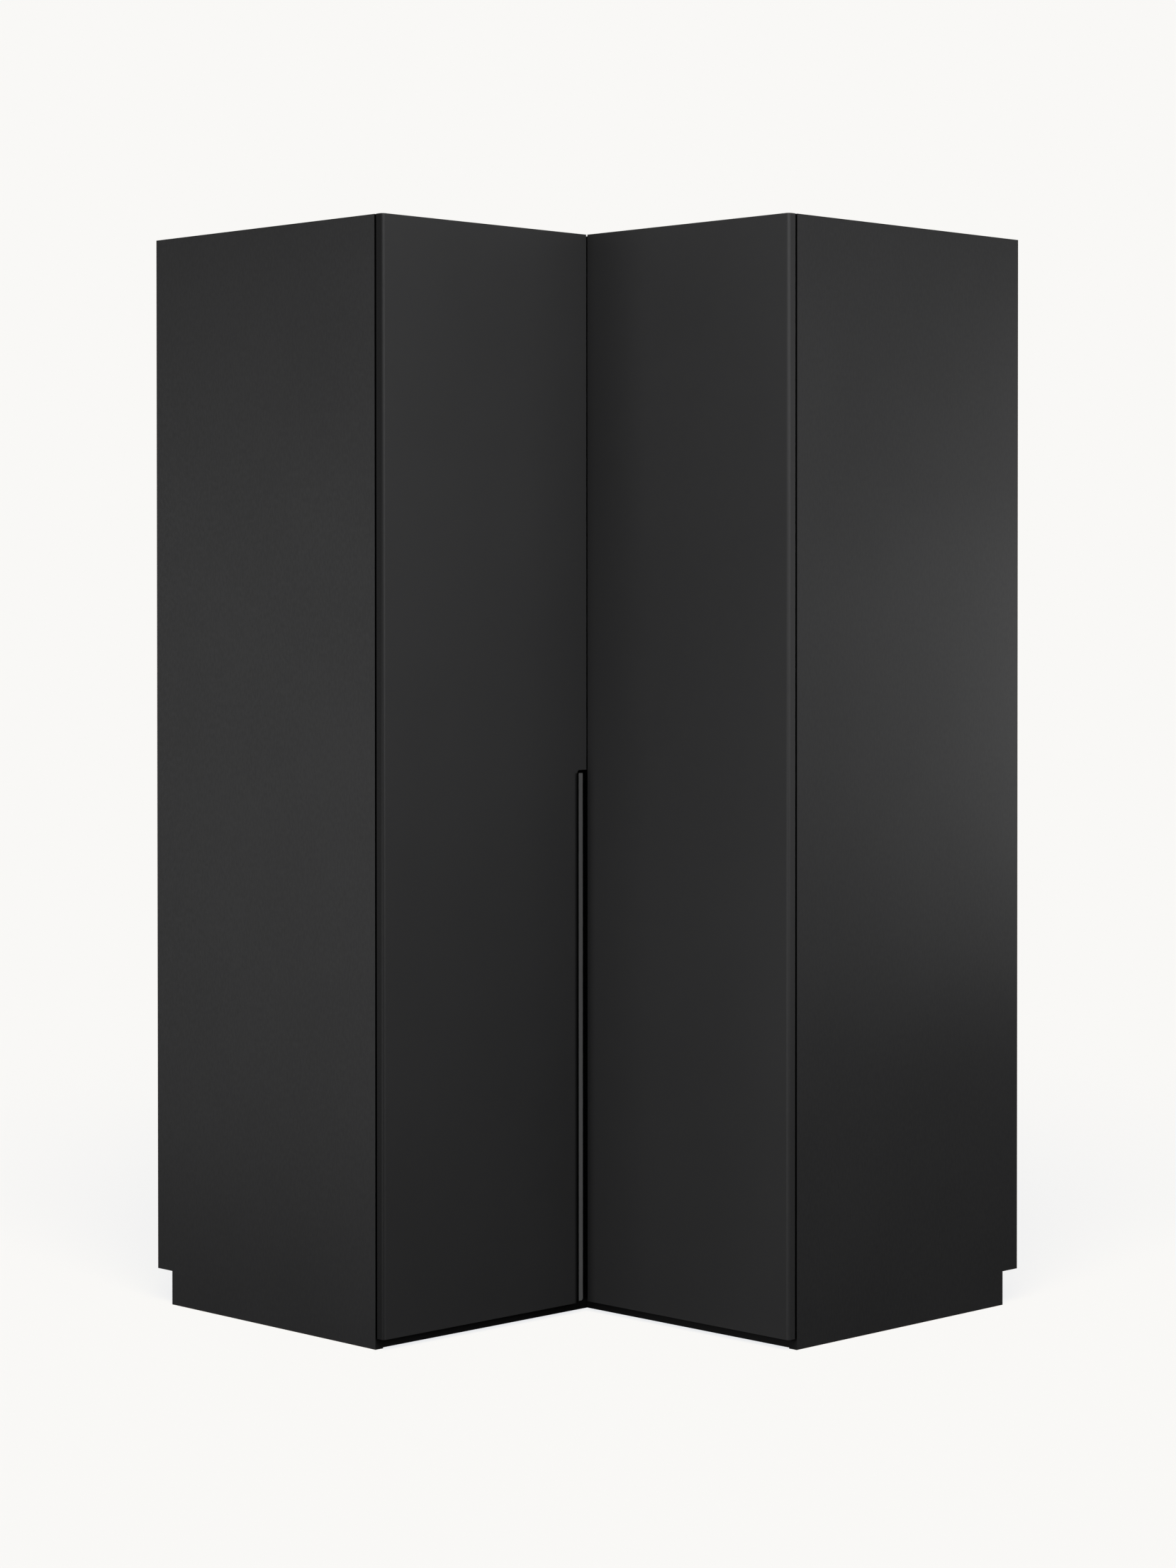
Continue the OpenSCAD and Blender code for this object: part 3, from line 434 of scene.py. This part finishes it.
def back_board():
    """Fibreboard, printed with the interior's linen in front and bare brown at the rear."""
    finish = Finish("back_finish", Specular_IOR_Level=0.4)
    weave = linen(finish)
    printed = finish.blend(finish.ramp(weave, 0.38, 0.62), srgb(40, 40, 41), srgb(60, 60, 61))
    fibres = finish.noise(1.4 * MM, detail=4, roughness=0.65, stretch=(1, 1, 3))
    flecks = finish.noise(0.05, detail=4)
    tone = finish.mean((fibres, 0.6), (flecks, 0.4))
    bare = finish.blend(finish.ramp(tone, 0.32, 0.68), BOARD_BROWN_DARK, BOARD_BROWN_LIGHT)
    rear = beyond_wall_distance(finish, BACK_BARE_FROM)
    height = finish.pick(rear, weave, fibres)
    gloss = finish.pick(rear, 0.5, 0.72)
    return finish.surface(finish.blend(rear, printed, bare), gloss,
                          finish.bump(height, 0.08 * MM, 0.4))


def grip_aluminium():
    """Satin black anodised extrusion with fine draw lines along its length, painted lighter towards its
    lower end and with painted shade on its sunk faces.
    """
    finish = Finish("grip_finish")
    lines = finish.noise(0.25 * MM, detail=3, stretch=(1, 1, 400))
    bloom = finish.noise(1.2 * MM, detail=2)
    x, y, z = finish.axes()
    # Painted shading: the grip is lighter at its lower end and darker towards the notch's top.
    painted_shade_upward = finish.ramp(z, 0.0, NOTCH_TOP)
    light = finish.blend(painted_shade_upward, srgb(121, 121, 121), srgb(102, 102, 102))
    dark = finish.blend(painted_shade_upward, srgb(112, 112, 112), srgb(93, 93, 93))
    colour = finish.blend(finish.ramp(lines, 0.3, 0.7), dark, light)
    gloss = finish.ramp(finish.mean((lines, 0.5), (bloom, 0.5)), 0.3, 0.7, 0.40, 0.50)
    depth = finish.math("MINIMUM", x, finish.math("MULTIPLY", y, -1))
    sunk = finish.math("LESS_THAN", depth, GRIP_RECESS)
    # Painted shade, near black, on the grip's sunk faces.
    colour = finish.blend(sunk, colour, BLACK_BAND_AND_SHADE)
    gloss = finish.pick(sunk, gloss, BLACK_GLOSS)
    finish.feed(finish.shader.inputs["Metallic"], finish.pick(sunk, 0.35, 1.0))
    return finish.surface(colour, gloss, finish.bump(lines, 0.02 * MM, 0.4))


def drawn_steel():
    """Satin chromed tube, polished along its length, which is level in both wings."""
    finish = Finish("rail_finish", metallic=1.0)
    lines = finish.noise(0.3 * MM, detail=3, stretch=(60, 60, 1))
    smears = finish.noise(0.03, detail=3)
    colour = finish.blend(finish.ramp(lines, 0.3, 0.7), srgb(196, 197, 200), srgb(214, 215, 218))
    gloss = finish.ramp(finish.mean((lines, 0.5), (smears, 0.5)), 0.3, 0.7, 0.16, 0.28)
    return finish.surface(colour, gloss, finish.bump(lines, 0.01 * MM, 0.35))


def plated(name, dark, light, low_gloss, high_gloss, bead):
    """Plated metal with a cast or tumbled grain of bead metres."""
    finish = Finish(name, metallic=1.0)
    grain = finish.noise(bead, detail=3)
    stain = finish.noise(9 * MM, detail=3)
    tone = finish.mean((grain, 0.4), (stain, 0.6))
    colour = finish.blend(finish.ramp(tone, 0.35, 0.65), dark, light)
    gloss = finish.ramp(tone, 0.35, 0.65, high_gloss, low_gloss)
    return finish.surface(colour, gloss, finish.bump(grain, 0.03 * MM, 0.35))


def black_plastic():
    """Moulded plastic with a fine eroded texture."""
    finish = Finish("plastic_finish", Specular_IOR_Level=0.5)
    texture = finish.noise(0.35 * MM, detail=3)
    flow = finish.noise(8 * MM, detail=2)
    colour = finish.blend(finish.ramp(flow, 0.3, 0.7), srgb(24, 24, 25), srgb(31, 31, 32))
    gloss = finish.ramp(texture, 0.3, 0.7, 0.42, 0.56)
    return finish.surface(colour, gloss, finish.bump(texture, 0.05 * MM, 0.5))


def beech():
    """Raw beech with short dark pores along the level grain."""
    finish = Finish("beech_finish")
    grain = finish.noise(0.8 * MM, detail=4, stretch=(8, 8, 1))
    pores = finish.noise(0.3 * MM, detail=1, stretch=(10, 10, 1))
    base = finish.blend(finish.ramp(grain, 0.3, 0.7), srgb(196, 158, 112), srgb(218, 184, 140))
    colour = finish.blend(finish.ramp(pores, 0.66, 0.74), base, srgb(150, 110, 72))
    return finish.surface(colour, finish.ramp(grain, 0.3, 0.7, 0.6, 0.7),
                          finish.bump(grain, 0.05 * MM, 0.4))


def clear_rubber():
    """Soft clear silicone with a faint haze."""
    finish = Finish("rubber_finish", Transmission_Weight=0.6, IOR=1.41)
    haze = finish.noise(1.5 * MM, detail=2)
    colour = finish.blend(haze, srgb(214, 214, 208), srgb(232, 232, 226))
    return finish.surface(colour, finish.ramp(haze, 0.3, 0.7, 0.22, 0.34),
                          finish.bump(haze, 0.05 * MM, 0.3))


FINISHES = {
    "carcass_laminate": carcass_laminate(),
    "door_laminate": door_foil(),
    "interior_laminate": interior_laminate(),
    "back_board": back_board(),
    "grip_aluminium": grip_aluminium(),
    "rail_steel": drawn_steel(),
    "zinc_hardware": plated("zinc_finish", srgb(150, 153, 158), srgb(178, 181, 186),
                            0.32, 0.46, 0.6 * MM),
    "nickel_steel": plated("nickel_finish", srgb(186, 181, 172), srgb(206, 202, 194),
                           0.20, 0.30, 0.5 * MM),
    "steel_fasteners": plated("fastener_finish", srgb(166, 168, 172), srgb(196, 198, 202),
                              0.26, 0.40, 0.4 * MM),
    "black_plastic": black_plastic(),
    "beech": beech(),
    "clear_rubber": clear_rubber(),
}


# ---------- Edge detail on the CAD nodes ----------

JOIN_DISTANCE = 0.002 * MM
FLAT_WITHIN = math.radians(0.5)
SHARP_FROM = math.radians(40)

# Widest rounding of the sharp edges of each finish's nodes. The overlap clamp makes it much
# smaller on a node with fine features, such as a panel or a door.
EDGE_RADII = {
    "carcass_laminate": 0.6 * MM,
    "door_laminate": 0.8 * MM,
    "interior_laminate": 0.5 * MM,
    "back_board": 0.3 * MM,
    "grip_aluminium": 0.25 * MM,
    "rail_steel": 0.2 * MM,
    "zinc_hardware": 0.25 * MM,
    "nickel_steel": 0.18 * MM,
    "steel_fasteners": 0.12 * MM,
    "black_plastic": 0.3 * MM,
    "beech": 0.2 * MM,
    "clear_rubber": 0.4 * MM,
}


def smoothing_group():
    """Geometry nodes that join a node's split vertices and shade its faces smooth."""
    group = bpy.data.node_groups.new("join_and_smooth", "GeometryNodeTree")
    group.interface.new_socket("Geometry", in_out="INPUT", socket_type="NodeSocketGeometry")
    group.interface.new_socket("Geometry", in_out="OUTPUT", socket_type="NodeSocketGeometry")
    source = group.nodes.new("NodeGroupInput")
    merge = group.nodes.new("GeometryNodeMergeByDistance")
    merge.inputs["Distance"].default_value = JOIN_DISTANCE
    shade = group.nodes.new("GeometryNodeSetShadeSmooth")
    shade.inputs["Shade Smooth"].default_value = True
    result = group.nodes.new("NodeGroupOutput")
    group.links.new(source.outputs[0], merge.inputs[0])
    group.links.new(merge.outputs[0], shade.inputs[0])
    group.links.new(shade.outputs[0], result.inputs[0])
    return group


def soften_edges(node, width, group, segments=2):
    """Whole flat faces, a rounding of at most width on every sharp edge, and flat large faces."""
    join = node.modifiers.new("join_and_smooth", "NODES")
    join.node_group = group
    flatten = node.modifiers.new("whole_flat_faces", "DECIMATE")
    flatten.decimate_type = "DISSOLVE"
    flatten.angle_limit = FLAT_WITHIN
    bevel = node.modifiers.new("soft_edges", "BEVEL")
    bevel.width = width
    bevel.segments = segments
    bevel.limit_method = "ANGLE"
    bevel.angle_limit = SHARP_FROM
    bevel.use_clamp_overlap = True
    normals = node.modifiers.new("flat_faces", "WEIGHTED_NORMAL")
    normals.weight = 100
    normals.keep_sharp = False


join_group = smoothing_group()
for node in nodes.values():
    slot_name = node.material_slots[0].material.name.split(".")[0]
    soften_edges(node, EDGE_RADII[slot_name], join_group)
    for slot in node.material_slots:
        slot.material = FINISHES[slot_name]


# ---------- Stage ----------

BACKGROUND = srgb(249, 248, 246)
FLOOR_FLAT = 10.0
FLOOR_RIM = 16.0
WALL_TOP = 16.0
FLOOR_BEND_STEPS = 12
FLOOR_SIDES = 96


def make_stage():
    """A round floor that curves up into a wall far from the object."""
    profile = [(2.0, 0.0), (4.0, 0.0), (FLOOR_FLAT, 0.0)]
    bend = FLOOR_RIM - FLOOR_FLAT
    for step in range(1, FLOOR_BEND_STEPS + 1):
        turn = math.pi / 2 * step / FLOOR_BEND_STEPS
        profile.append((FLOOR_FLAT + bend * math.sin(turn), bend * (1 - math.cos(turn))))
    profile.append((FLOOR_RIM, WALL_TOP))
    directions = [2 * math.pi * side / FLOOR_SIDES for side in range(FLOOR_SIDES)]
    points = [(r * math.cos(turn), r * math.sin(turn), z) for r, z in profile for turn in directions]
    centre = len(points)
    points.append((0.0, 0.0, 0.0))
    faces = [(centre, side, (side + 1) % FLOOR_SIDES) for side in range(FLOOR_SIDES)]
    for ring in range(len(profile) - 1):
        inner = ring * FLOOR_SIDES
        outer = inner + FLOOR_SIDES
        for side in range(FLOOR_SIDES):
            after = (side + 1) % FLOOR_SIDES
            faces.append((inner + side, outer + side, outer + after, inner + after))
    mesh = bpy.data.meshes.new("studio_floor")
    mesh.from_pydata(points, [], faces)
    for face in mesh.polygons:
        face.use_smooth = True
    floor = bpy.data.objects.new("studio_floor", mesh)
    bpy.context.scene.collection.objects.link(floor)
    floor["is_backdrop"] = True
    floor.visible_glossy = False
    floor.visible_diffuse = False
    floor.visible_shadow = False
    return floor


# Share of the floor's tone near the object that comes from light, which shadows can take away.
# It is warmer than the rest, so the shadows turn towards a neutral grey.
LIT_SHARE = (0.165, 0.143, 0.10)
FLOOR_ALBEDO = 0.05
PLAIN_FROM = 2.5
PLAIN_BEYOND = 5.0


def stage_material():
    """Paper whose tone is mostly its own glow, so that the light only draws the soft shadows.
    Far from the object it glows evenly."""
    material = bpy.data.materials.new("studio_paper")
    material.use_nodes = True
    tree = material.node_tree
    tree.nodes.clear()
    output = tree.nodes.new("ShaderNodeOutputMaterial")
    plain = tree.nodes.new("ShaderNodeEmission")
    plain.inputs["Color"].default_value = BACKGROUND
    plain.inputs["Strength"].default_value = 1.0
    glow = tree.nodes.new("ShaderNodeEmission")
    glow_tone = [tone * (1 - lit) for tone, lit in zip(BACKGROUND, LIT_SHARE)]
    glow.inputs["Color"].default_value = (*glow_tone, 1)
    glow.inputs["Strength"].default_value = 1.0
    paper = tree.nodes.new("ShaderNodeBsdfDiffuse")
    paper_tone = [FLOOR_ALBEDO * tone * lit for tone, lit in zip(BACKGROUND, LIT_SHARE)]
    paper.inputs["Color"].default_value = (*paper_tone, 1)
    add = tree.nodes.new("ShaderNodeAddShader")
    tree.links.new(glow.outputs[0], add.inputs[0])
    tree.links.new(paper.outputs[0], add.inputs[1])
    place = tree.nodes.new("ShaderNodeTexCoord").outputs["Object"]
    length = tree.nodes.new("ShaderNodeVectorMath")
    length.operation = "LENGTH"
    tree.links.new(place, length.inputs[0])
    far = tree.nodes.new("ShaderNodeMapRange")
    far.interpolation_type = "SMOOTHSTEP"
    far.inputs["From Min"].default_value = PLAIN_FROM
    far.inputs["From Max"].default_value = PLAIN_BEYOND
    tree.links.new(length.outputs["Value"], far.inputs["Value"])
    mix = tree.nodes.new("ShaderNodeMixShader")
    tree.links.new(far.outputs["Result"], mix.inputs[0])
    tree.links.new(add.outputs[0], mix.inputs[1])
    tree.links.new(plain.outputs[0], mix.inputs[2])
    tree.links.new(mix.outputs[0], output.inputs["Surface"])
    return material


floor = make_stage()
floor.data.materials.append(stage_material())


# ---------- Light ----------

def world_light(dome, horizon):
    """Soft studio dome: a faint even light from above and a brighter band at the horizon."""
    world = bpy.data.worlds.new("studio_dome")
    bpy.context.scene.world = world
    world.use_nodes = True
    tree = world.node_tree
    tree.nodes.clear()
    output = tree.nodes.new("ShaderNodeOutputWorld")
    background = tree.nodes.new("ShaderNodeBackground")
    split = tree.nodes.new("ShaderNodeSeparateXYZ")
    tree.links.new(tree.nodes.new("ShaderNodeTexCoord").outputs["Generated"], split.inputs[0])

    def step(low, high, out_low, out_high):
        node = tree.nodes.new("ShaderNodeMapRange")
        node.interpolation_type = "SMOOTHSTEP"
        node.inputs["From Min"].default_value = low
        node.inputs["From Max"].default_value = high
        node.inputs["To Min"].default_value = out_low
        node.inputs["To Max"].default_value = out_high
        tree.links.new(split.outputs[2], node.inputs["Value"])
        return node.outputs["Result"]

    product = tree.nodes.new("ShaderNodeMath")
    product.operation = "MULTIPLY"
    tree.links.new(step(-0.2, 0.0, 0.0, 1.0), product.inputs[0])
    tree.links.new(step(0.0, 0.2, horizon, dome), product.inputs[1])
    tree.links.new(product.outputs[0], background.inputs["Strength"])
    background.inputs["Color"].default_value = (1, 1, 1, 1)
    tree.links.new(background.outputs[0], output.inputs["Surface"])


def light_group(name, objects):
    """A collection that a light can be limited to."""
    group = bpy.data.collections.new(name)
    for item in objects:
        group.objects.link(item)
    return group


def softbox(name, centre, aim, width, height, power, lit):
    """A rectangular area light at centre that faces the point aim and lights only a collection."""
    data = bpy.data.lights.new(name, "AREA")
    data.shape = "RECTANGLE"
    data.size = width
    data.size_y = height
    data.energy = power
    lamp = bpy.data.objects.new(name, data)
    bpy.context.scene.collection.objects.link(lamp)
    lamp.location = centre
    lamp.rotation_mode = "QUATERNION"
    lamp.rotation_quaternion = (Vector(aim) - Vector(centre)).to_track_quat("-Z", "Y")
    lamp.visible_camera = False
    lamp.light_linking.receiver_collection = lit
    return lamp


def floor_sun(name, azimuth, elevation, spread, strength, lit):
    """A wide soft sun for the floor's shadows. Azimuth is where it comes from, seen from above."""
    data = bpy.data.lights.new(name, "SUN")
    data.angle = math.radians(spread)
    data.energy = strength
    lamp = bpy.data.objects.new(name, data)
    bpy.context.scene.collection.objects.link(lamp)
    turn = math.radians(azimuth)
    rise = math.radians(elevation)
    source = Vector((math.cos(turn) * math.cos(rise), math.sin(turn) * math.cos(rise), math.sin(rise)))
    lamp.rotation_mode = "QUATERNION"
    lamp.rotation_quaternion = (-source).to_track_quat("-Z", "Y")
    lamp.light_linking.receiver_collection = lit
    return lamp


CAMERA_BEARING = -44.8
HIGHEST_AIM = 1.4
SUN_ELEVATION = 45

object_pieces = light_group("object_pieces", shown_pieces())
floor_only = light_group("floor_only", [floor])

world_light(dome=0.196, horizon=0.319)


def studio_box(name, bearing, distance, height, size, power):
    """A square softbox that stands at a bearing from the camera's side of the object, in
    degrees with positive to the camera's right, and faces the object's middle."""
    turn = math.radians(CAMERA_BEARING + bearing)
    centre = (distance * math.cos(turn), distance * math.sin(turn), height)
    aim = (0, 0, min(HIGHEST_AIM, height))
    return softbox(name, centre, aim, size, size, power, object_pieces)


studio_box("high_front_box", bearing=0, distance=3.0, height=4.0, size=2.0, power=133)
studio_box("front_left_box", bearing=-40, distance=2.3, height=0.5, size=1.4, power=11.7)
studio_box("front_right_box", bearing=40, distance=2.3, height=1.4, size=1.4, power=11.4)
studio_box("right_box", bearing=115, distance=2.3, height=1.4, size=1.4, power=7.6)
studio_box("near_right_box", bearing=100, distance=1.7, height=1.0, size=1.0, power=1.1)
studio_box("left_box", bearing=-90, distance=4.2, height=0.8, size=2.2, power=5.5)

# On level paper without shadow this strength gives back the lit share in full.
sun_strength = math.pi / FLOOR_ALBEDO / math.sin(math.radians(SUN_ELEVATION))
floor_sun("floor_sun", azimuth=-45, elevation=SUN_ELEVATION, spread=50, strength=sun_strength,
          lit=floor_only)


# ---------- Camera ----------

CAMERA_PLACE = (4.7099, -4.6607, 1.2949)
CAMERA_TILT_DOWN = 0.689
CAMERA_ROLL = 0.015
CAMERA_HEADING = 135.213 - 90
FOCAL_LENGTH = 80.79

camera_data = bpy.data.cameras.new("camera")
camera = bpy.data.objects.new("camera", camera_data)
bpy.context.scene.collection.objects.link(camera)
bpy.context.scene.camera = camera
camera.location = CAMERA_PLACE
camera.rotation_mode = "XYZ"
camera.rotation_euler = [math.radians(turn)
                         for turn in (90 - CAMERA_TILT_DOWN, CAMERA_ROLL, CAMERA_HEADING)]
camera_data.sensor_fit = "AUTO"
camera_data.sensor_width = 36
camera_data.lens = FOCAL_LENGTH
camera_data.shift_x = -0.0029
camera_data.shift_y = -0.0806
camera_data.clip_end = 100

view = bpy.context.scene.view_settings
view.view_transform = "Standard"
view.look = "None"
